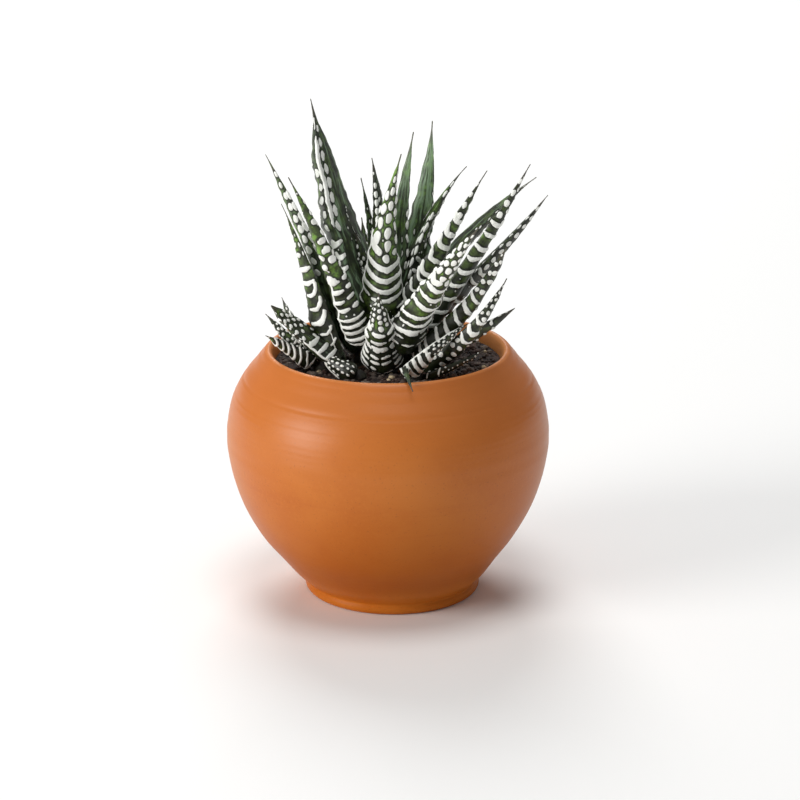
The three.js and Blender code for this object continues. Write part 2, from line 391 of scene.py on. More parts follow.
# How far the marks stray from their pattern, and the form of a band
stray = {
    "pitch": (0.94, 1.06), "cut": 0.07, "cutGap": 0.16, "band": 0.07, "bandWidth": (0.85, 1.12),
    "bandPoints": 9, "fullDipWidth": 5.5, "bead": (0.04, 0.06), "beadSize": (0.88, 1.1),
}
speck = {"along": (0.1, 0.93), "across": 0.95, "clear": 0.75, "size": (0.22, 0.42), "stretch": (0.9, 1.5)}
markReach = 1.3  # how far outside a mark its depth is still worked out
bareDepth = -1.2  # depth where no mark is near
waveCount = 6

# White marks of a leaf, in the order root to tip. Starts and ends are shares of the leaf's length, places
# across run from -1 at the left margin to 1 at the right one, seen from outside the rosette, and past 1 they
# lie on the inner face. Pitches, widths and dips are millimetres, and white is a band's share of its pitch.
bandForm = {
    "kind": "bands", "face": "back", "white": 0.48, "span": (-0.97, 0.97), "keel": 0.0, "dip": (2.2, 2.2),
    "curve": 1.6, "lean": 0.0, "cuts": (), "drop": 0.04,
}


def bands(start, end, pitch, **changes):
    return {**bandForm, "start": start, "end": end, "pitch": pitch, **changes}


def beads(start, end, pitch, across, wide, high, face="back", drop=0.04):
    return {"kind": "beads", "start": start, "end": end, "pitch": pitch, "across": across, "wide": wide,
            "high": high, "face": face, "drop": drop}


def line(start, end, across, radius, face="back"):
    return {"kind": "line", "start": start, "end": end, "across": across, "radius": radius, "face": face}


# Green tone, partly the leaf's own and partly painted light and shade (lighter on leaves in the light,
# darker on those in shade), silver bloom and streaks from 0 to 1, mesh cell, specks for each millimetre, and
# how much the tip narrows to a spine, with its length and sharpness
skinForm = {"tone": 0.5, "grey": 0.0, "streak": 0.4, "cell": 0.38, "specks": 0.4, "spine": (0.45, 0.1, 2)}


def skin(**changes):
    return {**skinForm, **changes}


# Marks of the backs that the photograph doesn't show
farMarks = [bands(0.06, 0.46, 4.2, span=(-0.8, 0.8), dip=(1.6, 1.6)),
            beads(0.5, 0.9, 4.2, -0.38, 0.9, 1.2), beads(0.53, 0.9, 4.2, 0.38, 0.9, 1.2)]

# Each leaf: tip bearing and reach from the stem, tip height, root bearing, root distance and height, outward
# bow, sideways sway, width, taper and twist; then its skin and its marks
leavesLeft = [
    # Tallest leaf, with its keel to the left
    ((154, 27.5, 88, 154, 1.5, 13.5, 1.7, -2.4, 22.5, 0.6, 0),
     skin(tone=0.4, grey=0.12, streak=0.9, spine=(0.78, 0.15, 3)), [
        line(0.46, 0.84, (1.03, 0.98), 0.9), beads(0.46, 0.88, 4.5, (1.17, 1.36), 1.1, 1.9, drop=0),
        beads(0.28, 0.74, 4.6, (0.8, 0.76), 1.25, 1.4, drop=0), bands(0.25, 0.42, 4.6, span=(-0.3, 1.05)),
        line(0.87, 0.92, 0.94, 0.25), beads(0.46, 0.52, 1.1, (-0.1, -0.3), 0.4, 0.45, "front", 0.1),
        beads(0.06, 0.44, 3.6, (0.1, 0.15), 0.4, 0.55, "front", 0.3),
        line(0.22, 0.4, (-0.1, -0.5), 0.16, "front"), line(0.2, 0.36, (0.3, 0), 0.14, "front"),
        line(0.28, 0.44, (-0.6, -0.2), 0.14, "front"), line(0.12, 0.3, (-0.4, 0.1), 0.16, "front"),
        bands(0.05, 0.6, 4.4, span=(-0.85, 0.2), dip=(1.6, 0.8)), beads(0.62, 0.9, 4.4, -0.2, 1.1, 1.4)]),
    # Slim leaf at the far left
    ((184, 39.5, 72.5, 184, 8.5, 4, -2.5, 1, 12, 0.75, 22), skin(tone=0.5, grey=0.35), [
        beads(0.42, 0.94, 4, (0.3, 0.62), 1.05, 1.5, drop=0), beads(0.42, 0.8, 4, 0.9, 0.85, 2, drop=0),
        beads(0.3, 0.8, 4.1, -0.1, 0.5, 0.8), line(0.3, 0.9, -0.3, 0.2),
        bands(0.04, 0.5, 3.9, span=(-0.97, -0.1), dip=(1.2, 1.2))]),
    # Left leaf with close bands at its root
    ((218, 39.5, 70, 218, 9.5, 8, -3, 0, 12.5, 0.95, 22), skin(tone=0.66), [
        beads(0.625, 0.8, 7.4, (0.58, 0.75), 1.35, 1.4, drop=0),
        beads(0.52, 0.6, 3.9, 0.6, 1.4, 1.4, drop=0),
        beads(0.42, 0.86, 4.3, 0.96, 0.6, 1.3), beads(0.42, 0.6, 4.2, (0, -0.15), 1.2, 1.3, drop=0),
        beads(0.41, 0.66, 3.7, (0.26, 0.32), 0.85, 1.1, drop=0.1), line(0.03, 0.44, (-0.36, -0.12), 0.5),
        bands(0.235, 0.43, 3.6, white=0.5, span=(-0.18, 0.9), cuts=(0.5,), dip=(0.8, 1.4), drop=0),
        bands(0.03, 0.21, 2.75, white=0.56, span=(-0.35, 0.92), keel=0.4, dip=(0.6, 1.4), lean=-0.3)]),
    # Low leaf at the far left, broad at its root
    ((193, 35, 57, 184, 15, 0.5, -3, -3, 19, 1.2, 15), skin(tone=0.55, specks=0.2), [
        beads(0.7, 0.96, 3.1, (0.28, -0.35), 1.15, 1.2, drop=0), beads(0.7, 0.95, 3.2, (0.8, 0.6), 0.5, 1),
        bands(0.53, 0.64, 4.6, white=0.44, span=(-0.1, 0.8), keel=0.3, dip=(0.6, 1), drop=0),
        bands(0.3, 0.5, 4.7, white=0.36, span=(0.2, 0.85), keel=0.4, dip=(1.5, 8), curve=2.4, drop=0),
        bands(0.16, 0.28, 4.4, white=0.24, span=(0.4, 0.9), keel=0.6, dip=(1, 5), curve=2),
        beads(0.1, 0.5, 4.2, (-0.1, -0.2), 0.3, 0.7), line(0.05, 0.4, (-0.35, -0.4), 0.14),
        line(0.1, 0.4, (-0.15, -0.25), 0.12), line(0.03, 0.3, (0.85, 0.8), 0.18)]),
    # Thin leaf behind the middle
    ((130, 12.5, 61.5, 130, 1.5, 10, -1.5, 2, 7, 0.85, 0), skin(tone=0.4, grey=0.3), [
        line(0.3, 0.85, -0.98, 0.3), beads(0.2, 0.8, 4, 0.2, 0.4, 0.7, "front"), *farMarks]),
]
leavesFront = [
    # Broad leaf in the middle
    ((-72, 18, 76, -95, 4, 10.5, -5, 6, 18.5, 1.15, 0), skin(tone=0.78, cell=0.34), [
        beads(0.435, 0.48, 4.6, 0.25, 1.2, 1.4, drop=0),
        beads(0.5, 0.92, 4.9, (0.24, 0.12), 1.35, 2.2, drop=0),
        beads(0.465, 0.49, 4, 0.7, 1.2, 1.3, drop=0),
        beads(0.54, 0.77, 4.9, (-0.42, -0.46), 1.6, 2.35, drop=0),
        beads(0.53, 0.9, 4.9, (0.78, 0.74), 0.9, 2, drop=0), beads(0.53, 0.7, 4.6, -0.92, 0.85, 1.8, drop=0),
        bands(0.455, 0.49, 4.6, white=0.66, span=(-0.95, -0.14), keel=0, dip=(4.6, 0), curve=1, drop=0),
        bands(0.26, 0.4, 3.95, white=0.62, keel=0.2, dip=(4.2, 2.9), curve=1.25, drop=0),
        bands(0.218, 0.24, 3.7, white=0.32, span=(-0.9, 0.95), keel=0.2, dip=(3.4, 2.4), cuts=(-0.4,),
              drop=0),
        bands(0.05, 0.19, 3.7, white=0.22, keel=0.2, dip=(3.4, 2.4), cuts=(-0.5, 0.1, 0.5), drop=0.4),
        line(0.16, 0.56, -0.96, 0.62), line(0.14, 0.46, 0.97, 0.36)]),
    # Short leaf at the front
    ((-95, 21, 30, -96, 7, 1.5, 1, 0.5, 15.5, 0.85, 0), skin(tone=0.5, cell=0.3), [
        beads(0.6, 0.95, 2.2, (0.1, 0.03), 0.9, 0.95, drop=0),
        beads(0.62, 0.95, 2, (-0.5, -0.5), 0.75, 0.85),
        beads(0.63, 0.92, 2, (0.58, 0.6), 0.75, 0.85), beads(0.55, 0.85, 1.9, (-0.93, -0.9), 0.5, 0.7),
        bands(0.34, 0.6, 3.1, white=0.56, cuts=(-0.46, 0.4), dip=(1.9, 1.7), keel=0.1, lean=-0.25, drop=0),
        bands(0.05, 0.33, 2.1, white=0.54, cuts=(-0.42, 0, 0.44), dip=(1.5, 1.5), keel=0.1, lean=-0.2),
        line(0.08, 0.55, -0.99, 0.22), line(0.08, 0.8, 0.99, 0.26)]),
    # Thin leaf just left of the middle
    ((131, 6.5, 69.5, 150, 1.5, 11, -3, 4, 12.5, 0.75, 5), skin(tone=0.22, specks=0.6), [
        beads(0.2, 0.85, 2.9, -0.96, 1, 1.3), beads(0.2, 0.88, 2.9, 1, 1, 1.3),
        beads(0.2, 0.78, 3, 0.35, 0.8, 1, "front"), beads(0.2, 0.7, 3.2, -0.3, 0.7, 0.9, "front"),
        beads(0.2, 0.7, 3.2, 0.15, 0.9, 1)]),
    # Small leaf to the left of it
    ((150, 11.5, 43.5, 150, 2.5, 10.5, -2, 1, 10, 0.6, 0), skin(tone=0.35, specks=0.6), [
        beads(0.2, 0.8, 3, (0.4, 0.3), 0.7, 0.8, "front"),
        beads(0.2, 0.8, 3.3, (-0.4, -0.3), 0.6, 0.8, "front"),
        beads(0.2, 0.9, 2.8, 0.97, 0.6, 0.9), beads(0.2, 0.9, 2.8, -0.97, 0.6, 0.9)]),
    # Tall leaf right of the middle, its inner face shown
    ((53, 16, 76.5, 70, 3.5, 10, 0, -2, 13, 0.95, 0), skin(tone=0.5, grey=0.4, streak=1), [
        beads(0.2, 0.62, 4.5, -1, 0.6, 1.6), beads(0.1, 0.6, 5, 1, 0.5, 1.4),
        beads(0.05, 0.4, 5.2, (0.05, 0.1), 0.25, 1.6, "front"),
        beads(0.05, 0.5, 4.6, -0.5, 0.25, 1.3, "front"),
        *farMarks]),
]
leavesMiddle = [
    # Second tallest leaf, at the back, its inner face shown
    ((55, 28, 78, 62, 4.5, 8.5, 2, 4.5, 18, 1, 10), skin(tone=0.55, grey=0.9, streak=1), [
        beads(0.3, 0.68, 4, -1, 0.5, 1.1), beads(0.15, 0.5, 4.6, (-0.35, -0.2), 0.4, 1.1, "front"),
        beads(0.1, 0.55, 5.6, 0.25, 0.3, 1, "front"), *farMarks]),
    # Back leaf that leans to the right
    ((30, 32, 64, 30, 3.5, 10.5, -9, -6, 15, 1.05, -15), skin(tone=0.42, streak=0.8), [
        line(0.12, 0.74, 1.02, 0.4), beads(0.1, 0.88, 4.4, -1, 0.8, 1.9),
        beads(0.1, 0.7, 4.2, (-0.5, -0.6), 0.5, 1.6, "front"), beads(0.1, 0.5, 5, 0, 0.3, 1, "front"),
        *farMarks]),
    # Banded leaf to the right
    ((-18, 35.5, 69, -18, 1, 9.5, -1, 0.5, 14.5, 1.05, -28), skin(tone=0.42), [
        beads(0.74, 0.93, 4.2, (-0.5, -0.9), 1.3, 1.5),
        bands(0.405, 0.73, 5.2, white=0.38, span=(-0.98, 0.28), keel=-0.5, dip=(4, 0.5), curve=2.6, drop=0),
        bands(0.04, 0.36, 4.4, white=0.26, span=(-0.97, -0.3), keel=-0.6, dip=(4, 2), curve=2, drop=0.4),
        beads(0.3, 0.84, 3.6, (0.4, 0.28), 0.6, 1.6)]),
    # Long banded leaf to the right
    ((-12, 49, 71, -12, 6.5, 5, 3, 1, 11.5, 0.8, -32), skin(tone=0.4), [
        beads(0.75, 0.95, 4.3, (-0.6, -0.6), 1.2, 1.5), beads(0.72, 0.95, 4.3, (0.15, 0.1), 0.8, 1.3),
        bands(0.58, 0.74, 5, white=0.36, span=(-0.9, 0.3), keel=-0.2, dip=(1.2, 1.6), lean=0.8, drop=0),
        bands(0.1, 0.57, 5.4, white=0.3, span=(-0.85, 0), keel=-0.65, dip=(1, 9), curve=1.5, drop=0.1)]),
    # Plain leaf behind the long one
    ((18, 54, 60, 18, 3, 10, -6, -7, 14, 0.9, 6), skin(tone=0.3, streak=0.6, specks=0.2), [
        beads(0.2, 0.7, 5, (-0.8, -0.7), 0.35, 0.6, "front", 0.4), beads(0.2, 0.95, 4, -1, 0.35, 0.9),
        *farMarks]),
]
leavesRight = [
    # Broad leaf at the right front
    ((-52, 49.5, 57, -52, 6.5, 6.5, -1.5, 2.5, 15.5, 0.85, -25), skin(tone=0.66, cell=0.34), [
        beads(0.66, 0.95, 4, (-0.62, -0.7), 1.1, 1.6), beads(0.63, 0.97, 4, (-0.1, -0.2), 1.2, 1.5),
        beads(0.6, 0.93, 3.8, (0.35, 0.3), 1, 1.3), beads(0.15, 0.9, 3.6, -0.95, 0.8, 1.5),
        bands(0.585, 0.62, 4.6, white=0.46, span=(-0.84, -0.14), keel=-0.48, dip=(4.5, 10), curve=1.6,
              drop=0),
        bands(0.41, 0.56, 4.25, white=0.52, span=(-0.76, 0.45), keel=-0.1, dip=(1.2, 0.6), drop=0),
        bands(0.24, 0.39, 3.4, white=0.48, span=(-0.8, 0.6), keel=0, dip=(0.6, 0.6), lean=3, drop=0),
        bands(0.15, 0.23, 2.4, white=0.36, span=(-0.75, 0.6), dip=(0.8, 0.8), lean=2.2, cuts=(-0.3, 0.2),
              drop=0.2),
        line(0.2, 0.6, (0.7, 0.5), 0.2)]),
    # Dark leaf that reaches furthest right
    ((2, 54.5, 57.5, 2, 3, 7.5, 3.5, -0.5, 12.5, 0.7, -6), skin(tone=0.16), [
        beads(0.56, 0.95, 3.7, (-0.7, -0.55), 0.85, 1.2), beads(0.4, 0.95, 4.2, -1.04, 0.4, 1.2),
        bands(0.05, 0.54, 4.2, white=0.34, span=(-0.97, -0.2), keel=-0.6, dip=(1.2, 4.5), drop=0.2)]),
    # Low leaf with wide bands
    ((-36, 49, 47.5, -36, 11, 3.5, 4, -7, 9, 0.6, -32), skin(tone=0.4, specks=0.2), [
        beads(0.65, 0.95, 4.3, (-0.72, -0.6), 0.9, 1), beads(0.66, 0.96, 4.6, (-0.1, 0), 1, 1.1),
        bands(0.22, 0.62, 5.2, white=0.32, span=(-0.95, 0.2), keel=-0.3, dip=(0.8, 1), lean=-2.2, drop=0),
        beads(0.3, 0.6, 4.4, 0.4, 0.7, 0.9),
        bands(0.03, 0.19, 3.4, white=0.4, span=(-0.9, 0.4), keel=-0.2, dip=(3, 2.4))]),
    # Lower leaf with beads
    ((-25, 44.5, 34.5, -31.5, 11, -1, 10.5, 5.5, 10.5, 0.8, -31), skin(tone=0.3), [
        beads(0.7, 0.95, 2.45, (-0.15, -0.2), 0.85, 0.9), beads(0.68, 0.95, 2.4, (-0.8, -0.75), 0.6, 0.7),
        bands(0.5, 0.69, 4, white=0.4, span=(-0.9, 0.3), keel=-0.3, dip=(2.4, 4.5)),
        beads(0.06, 0.48, 2.6, (-0.7, -0.6), 0.9, 0.9), beads(0.08, 0.48, 2.7, (0, -0.1), 1.1, 0.8)]),
    # Lowest leaf at the right
    ((-12, 44.5, 21.5, -13, 11, 1, 0, 7, 10.7, 0.56, -24), skin(tone=0.22), [
        bands(0.5, 0.76, 3.4, white=0.36, span=(-0.8, 0.1), keel=-0.3, cuts=(-0.3,), drop=0.2),
        beads(0.1, 0.48, 2.8, (-0.6, -0.5), 0.8, 0.8), beads(0.6, 0.95, 2.6, -0.97, 0.4, 0.9)]),
]

backSkin = skin(tone=0.45, cell=0.5)
backMarks = [
    bands(0.05, 0.5, 3.9, dip=(2, 2)), beads(0.52, 0.93, 3.8, -0.55, 1.1, 1.3),
    beads(0.55, 0.95, 3.8, 0, 1.2, 1.4), beads(0.52, 0.93, 3.8, 0.55, 1.1, 1.3),
    beads(0.2, 0.9, 3.2, -0.98, 0.5, 1), beads(0.2, 0.9, 3.2, 0.98, 0.5, 1),
    beads(0.2, 0.8, 4.2, -0.4, 0.5, 0.8, "front"), beads(0.22, 0.8, 4.2, 0.4, 0.5, 0.8, "front"),
]
# Leaves of the far side by rule, low outside and upright inside, then the young leaves of the heart
lowShapes = [(44 + 24 * i, 38 - 2.5 * (i % 2), 24 + 5 * (i % 3), 44 + 24 * i, 9, 2, 3, 0, 11, 0.75, 0)
             for i in range(5)]
uprightShapes = [(60 + 24 * i, 26 + i % 2, 44 + 3 * (i % 2), 60 + 24 * i, 5, 6, 2, 0, 10.5, 0.8, 0)
                 for i in range(4)]
heartShapes = [(-150 + 120 * i, 4, 36 + 3 * i, -150 + 120 * i, 1.5, 11, -1, 0, 7.5, 0.7, 0)
               for i in range(3)]
leavesBack = [(shape, backSkin, backMarks) for shape in lowShapes + uprightShapes + heartShapes]
mainLeaves = {"leavesLeft": leavesLeft, "leavesFront": leavesFront, "leavesMiddle": leavesMiddle,
              "leavesRight": leavesRight, "leavesBack": leavesBack}

# Marks of the offsets
innerDots = [beads(0.34 + 0.04 * (i % 2), 0.86, 2.9, across, 0.66, 0.76, "front", 0.1)
             for i, across in enumerate((-0.74, -0.26, 0.26, 0.76))]
outerDots = [beads(0.5 + 0.04 * (i % 2), 0.88, 2.5, across, 0.55, 0.65, drop=0.15)
             for i, across in enumerate((-0.8, -0.4, 0, 0.4, 0.8))]
offsetSkin = skin(tone=0.42, cell=0.3, specks=0.5)
offsetMarks = [
    bands(0.02, 0.3, 2.3, white=0.5, dip=(0.7, 0.7), face="front"), *innerDots, *outerDots,
    bands(0.05, 0.5, 2.2, white=0.46, dip=(1.3, 1.3)), beads(0.1, 0.8, 2.6, -0.97, 0.4, 0.6),
    beads(0.1, 0.8, 2.6, 0.97, 0.4, 0.6),
]
shootMarks = [
    *innerDots, *outerDots,
    bands(0.1, 0.4, 3.6, white=0.48, span=(-0.25, 0.9), dip=(0.8, 0.8), drop=0, face="front"),
    beads(0.1, 0.4, 3.2, -0.6, 0.55, 0.6, "front"), line(0.05, 0.46, 0.97, 0.5),
    beads(0.5, 0.9, 2.4, 0.97, 0.35, 0.5),
]
bandedMarks = [
    *innerDots, bands(0.08, 0.8, 2.7, white=0.34, span=(-0.9, 0.9), dip=(4.2, 3.4), curve=1.9, lean=0.6),
    beads(0.1, 0.85, 1.3, -0.97, 0.4, 0.6), beads(0.1, 0.85, 2.2, 0.97, 0.3, 0.5),
]
budMarks = [beads(0.08 + 0.05 * (i % 2), 0.9, 1.8, across, 0.42, 0.6, drop=0.1)
            for i, across in enumerate((-0.6, -0.25, 0.1, 0.45))]
budMarks += innerDots + [line(0.02, 0.97, -0.95, 0.75)]
tinyMarks = [beads(0.3, 0.9, 1.7, across, 0.3, 0.35, drop=0.2) for across in (-0.4, 0.1, 0.5)]
tinyMarks += [bands(0.05, 0.3, 1.9, white=0.3, cuts=(0,), drop=0.2)]
archMarks = [line(0.05, 0.6, -0.99, 0.3), line(0.05, 0.5, 0.99, 0.25), bands(0.03, 0.4, 2.6, white=0.3)]
sproutMarks = [beads(0.38 + 0.03 * (i % 2), 0.93, 1.9, across, 0.42, 0.5, drop=0.1)
               for i, across in enumerate((-0.85, -0.5, -0.15, 0.2, 0.55, 0.9))]
sproutMarks += [bands(0.02, 0.38, 2.5, white=0.56, dip=(1.4, 1.4), drop=0), line(0.1, 0.9, -0.99, 0.26)]

# Leaves of the offsets: centre, shape as above, skin and marks
leftOffset = [
    (leftCentre, (150, 16.5, 22, 150, 0, 5, 2, -1, 9.5, 0.75, 35), offsetSkin, offsetMarks),
    (leftCentre, (185, 19.5, 19, 185, 3, 1, -0.5, 0.5, 9, 0.8, 35), offsetSkin, offsetMarks),
    (leftCentre, (200, 20.5, 13, 200, 3, 2.5, -0.5, 4, 10, 0.8, 30), offsetSkin, bandedMarks),
    (shootCentre, (174.5, 27, 23, 150, 4.2, 5, 3, 1.2, 11, 0.5, 15), offsetSkin, shootMarks),
    (budCentre, (157.5, 13, 4.7, 215, 2, 0.2, 2, -1.3, 8, 0.5, 42), skin(tone=0.15, cell=0.3), budMarks),
]
rightOffset = [
    (rightCentre, (10, 18, 18, 10, -3.5, 2, -4, 6, 8.4, 0.8, -45), skin(tone=0.2, cell=0.3), sproutMarks),
    (rightCentre, (10, 23.5, 8.5, 8, 3, 0.5, 0, 4.5, 4.5, 0.65, -40), skin(tone=0, cell=0.3), tinyMarks),
    (rightCentre, (-91.7, 23, 2.5, -135, 3.5, 2.5, 3.5, 8.6, 3.4, 0.6, 90), skin(tone=0.25, cell=0.3),
     archMarks),
]


def polar(centre, bearing, reach, height):
    angle = math.radians(bearing)
    return np.array([centre[0] + reach * math.cos(angle), centre[1] + reach * math.sin(angle), height])


def unit(v):
    return v / np.linalg.norm(v, axis=-1, keepdims=True)


# At shares s of a leaf's length: its middle line, the way its inner face looks, the way across and its width
def bladeAxis(centre, shape, s, spine):
    tipBearing, reach, rise, rootBearing, foot, lift, bow, sway, width, taper, turn = shape
    root = polar(centre, rootBearing, foot, plantBase + lift)
    tip = polar(centre, tipBearing, reach, plantBase + rise)
    chord = unit(tip - root)
    out = polar((0, 0), rootBearing, 1, 0)
    inner = -unit(out - chord * out.dot(chord))
    side = np.cross(chord, inner)
    bend = (root + tip) / 2 - inner * bow + side * sway
    roll = math.radians(turn)
    faceUp = inner * math.cos(roll) + side * math.sin(roll)
    t = s[:, None]
    axis = (1 - t) ** 2 * root + 2 * t * (1 - t) * bend + t**2 * tip
    along = unit((1 - t) * (bend - root) + t * (tip - bend))
    up = unit(faceUp - along * (along @ faceUp)[:, None])
    over = np.cross(along, up)
    neckEnd, neckDepth = blade["neck"]
    neck = np.sqrt(1 - neckDepth * np.maximum(0, 1 - s / neckEnd) ** 2)
    depth, spread, power = spine
    pinch = 1 - depth * np.exp(-(((1 - s) / spread) ** power))
    w = np.maximum(width * (1 - s) ** taper * neck * pinch, blade["tipWidth"])
    return axis, up, over, w


def ends(value):
    return value if isinstance(value, tuple) else (value, value)


def bandStrokes(form, length, widthAt, draw):
    strokes = []
    y = form["start"] * length
    low, high = form["span"]
    keel, pitch = form["keel"], form["pitch"]
    points = np.linspace(-1, 1, stray["bandPoints"])
    while y < form["end"] * length:
        room = min(1.0, widthAt(y) / stray["fullDipWidth"])
        cuts = [cut + draw.uniform(-stray["cut"], stray["cut"]) for cut in form["cuts"]]
        for a, b in zip([low] + cuts, cuts + [high]):
            if draw.random() < form["drop"]:
                continue
            radius = pitch * form["white"] / 2 * draw.uniform(*stray["bandWidth"])
            inset = (radius + stray["cutGap"]) / max(1.0, widthAt(y))
            a = a + inset if a > low else a
            b = b - inset if b < high else b
            if b < a:
                a = b = (a + b) / 2
            us = np.linspace(a, b, stray["bandPoints"])
            part = np.where(us < keel, (keel - us) / (1 + keel), (us - keel) / (1 - keel))
            dip = np.where(us < keel, *form["dip"]) * np.maximum(0, part) ** form["curve"]
            shift = draw.uniform(-stray["band"], stray["band"]) * pitch
            ys = y + shift + (dip + form["lean"] * us) * (0.3 + 0.7 * room)
            thick = radius * (1 - 0.3 * np.abs(points) ** 2 + 0.08 * draw.uniform(-1, 1))
            strokes.append((us, ys, thick))
        y += pitch * draw.uniform(*stray["pitch"])
    return strokes


def lineStroke(form, length):
    start, end = ends(form["across"])
    t = np.linspace(0, 1, 12)
    thick = form["radius"] * np.minimum(1, 6 * np.minimum(t, 1 - t) + 0.3)
    return [(start + (end - start) * t, (form["start"] + (form["end"] - form["start"]) * t) * length, thick)]


def beadRun(form, length, widthAt, widest, draw):
    start, end = ends(form["across"])
    sideways, along = stray["bead"]
    run = []
    y = form["start"] * length
    while y < form["end"] * length:
        share = (y / length - form["start"]) / (form["end"] - form["start"])
        small = min(1.0, (2 * widthAt(y) / widest) ** 0.6) * draw.uniform(*stray["beadSize"])
        if draw.random() >= form["drop"]:
            u = start + (end - start) * share + draw.uniform(-sideways, sideways)
            run.append((u, y + draw.uniform(-along, along) * form["pitch"], form["wide"] * small,
                        form["high"] * (0.4 + 0.6 * small)))
        y += form["pitch"] * draw.uniform(*stray["pitch"])
    return run


# How deep each point of the leaf lies inside a band or line, in millimetres, negative outside
def strokeDepth(strokes, half, acrossMm, alongMm, rowsY, field):
    for us, ys, thick in strokes:
        reach = thick.max() + markReach
        rows = (rowsY > ys.min() - reach) & (rowsY < ys.max() + reach)
        x, y, wide = acrossMm[rows], alongMm[rows], half[rows, None]
        depth = np.full(x.shape, -9.0)
        for i in range(len(us) - 1):
            x0, y0 = us[i] * wide, ys[i]
            ex, ey = (us[i + 1] - us[i]) * wide, ys[i + 1] - ys[i]
            t = np.clip(((x - x0) * ex + (y - y0) * ey) / (ex**2 + ey**2 + 1e-9), 0, 1)
            gap = np.sqrt((x - x0 - ex * t) ** 2 + (y - y0 - ey * t) ** 2)
            depth = np.maximum(depth, thick[i] + (thick[i + 1] - thick[i]) * t - gap)
        field[rows] = np.maximum(field[rows], depth)


# The same for oval beads
def beadDepth(run, half, acrossMm, alongMm, rowsY, field):
    for u, y, wide, high in run:
        rows = np.abs(rowsY - y) < high + markReach
        dx = (acrossMm[rows] - u * half[rows, None]) / wide
        dy = (alongMm[rows] - y) / high
        far = np.sqrt(dx**2 + dy**2)
        depth = np.where(far < 1, (1 - far) * min(wide, high), (1 - far) * 0.5 * (wide + high))
        field[rows] = np.maximum(field[rows], depth)


# Small white specks on the back, where no mark is near
def addSpecks(count, rowsY, half, grid, draw, field):
    lowest, highest = (int(share * len(rowsY)) for share in speck["along"])
    for _ in range(count):
        r = draw.randrange(lowest, highest)
        u = draw.uniform(-speck["across"], speck["across"])
        c = int(np.abs(grid[0][r] / half[r] - u).argmin())
        if field[r, c] < -speck["clear"]:
            size = draw.uniform(*speck["size"])
            tall = size * draw.uniform(*speck["stretch"])
            beadDepth([(u, rowsY[r], size, tall)], half, *grid, rowsY, field)


def markDepth(forms, length, rowsY, halves, grids, specks, draw):
    field = np.full(grids["back"][0].shape, bareDepth)
    for form in forms:
        half, grid = halves[form["face"]], grids[form["face"]]

        def widthAt(y, half=half):
            return float(np.interp(y, rowsY, half))

        if form["kind"] == "beads":
            beadDepth(beadRun(form, length, widthAt, half.max(), draw), half, *grid, rowsY, field)
        elif form["kind"] == "line":
            strokeDepth(lineStroke(form, length), half, *grid, rowsY, field)
        else:
            strokeDepth(bandStrokes(form, length, widthAt, draw), half, *grid, rowsY, field)
    addSpecks(int(specks * length), rowsY, halves["back"], grids["back"], draw, field)
    return field


# A smooth random field from about -1 to 1, with bumps of about the spread
def waves(x, y, draw, spread):
    total = np.zeros_like(x)
    for _ in range(waveCount):
        angle, size = draw.uniform(0, 2 * math.pi), spread * draw.uniform(0.7, 1.6)
        kx, ky = math.cos(angle) / size, math.sin(angle) / size
        total += np.sin(2 * math.pi * (kx * x + ky * y) + draw.uniform(0, 2 * math.pi))
    return total / waveCount


# A flat grid, and the row and column of each of its points
def blankGrid(cols, rings):
    flat = bmesh.new()
    bmesh.ops.create_grid(flat, x_segments=cols, y_segments=rings, size=0.5)
    mesh = asMesh(flat, "blank")
    co = np.empty(len(mesh.vertices) * 3)
    mesh.vertices.foreach_get("co", co)
    co = co.reshape(-1, 3)
    column = np.rint((co[:, 0] + 0.5) * cols).astype(int)
    row = np.rint((co[:, 1] + 0.5) * rings).astype(int)
    return mesh, row, column


# Section of a leaf one unit wide. Columns start in the middle of the inner face, and go round the right
# margin, the back and the left margin
def crossSection(backCols, frontCols):
    cols = backCols + frontCols
    k = np.arange(cols + 1)
    quarter = frontCols / 2
    isFront = (k <= quarter) | (k >= cols - quarter)
    frontX = np.where(k <= quarter, k / quarter, -(cols - k) / quarter)
    u = np.where(isFront, np.sign(frontX + 1e-9), 1 - 2 * (k - quarter) / backCols)
    theta = (1 - u) * math.pi / 2
    lobe = 1 - blade["keel"] * np.sin(2 * theta) ** 2
    lift = np.clip((1 - np.abs(frontX)) / blade["marginRound"], 0, 1)
    return {
        "isFront": isFront, "frontX": frontX, "backU": u,
        "x": np.where(isFront, frontX * 0.5, 0.5 * np.cos(theta) * lobe),
        "y": np.where(isFront, blade["crown"] * (1 - frontX**2), -0.5 * np.sin(theta) * lobe),
        "outX": np.where(isFront, np.sign(frontX) * (1 - lift), np.cos(theta)),
        "outY": np.where(isFront, lift, -np.sin(theta)),
    }


# Millimetres across the skin, from the middle of the back and from that of the inner face
def skinAcross(section, halves):
    isFront, frontX, u = section["isFront"], section["frontX"], section["backU"]
    side = np.sign(u)
    halfBack, halfFront = halves["back"][:, None], halves["front"][:, None]
    fromBack = np.where(isFront, side * (halfBack + (1 - np.abs(frontX)) * halfFront), u * halfBack)
    fromFront = np.where(isFront, frontX * halfFront, side * (halfFront + (1 - np.abs(u)) * halfBack))
    return fromBack, fromFront


def isDressed(forms):  # whether marks reach the inner face, which then needs finer cells
    return any(form["face"] == "front" or np.max(form.get("across", 0)) > 1 for form in forms)


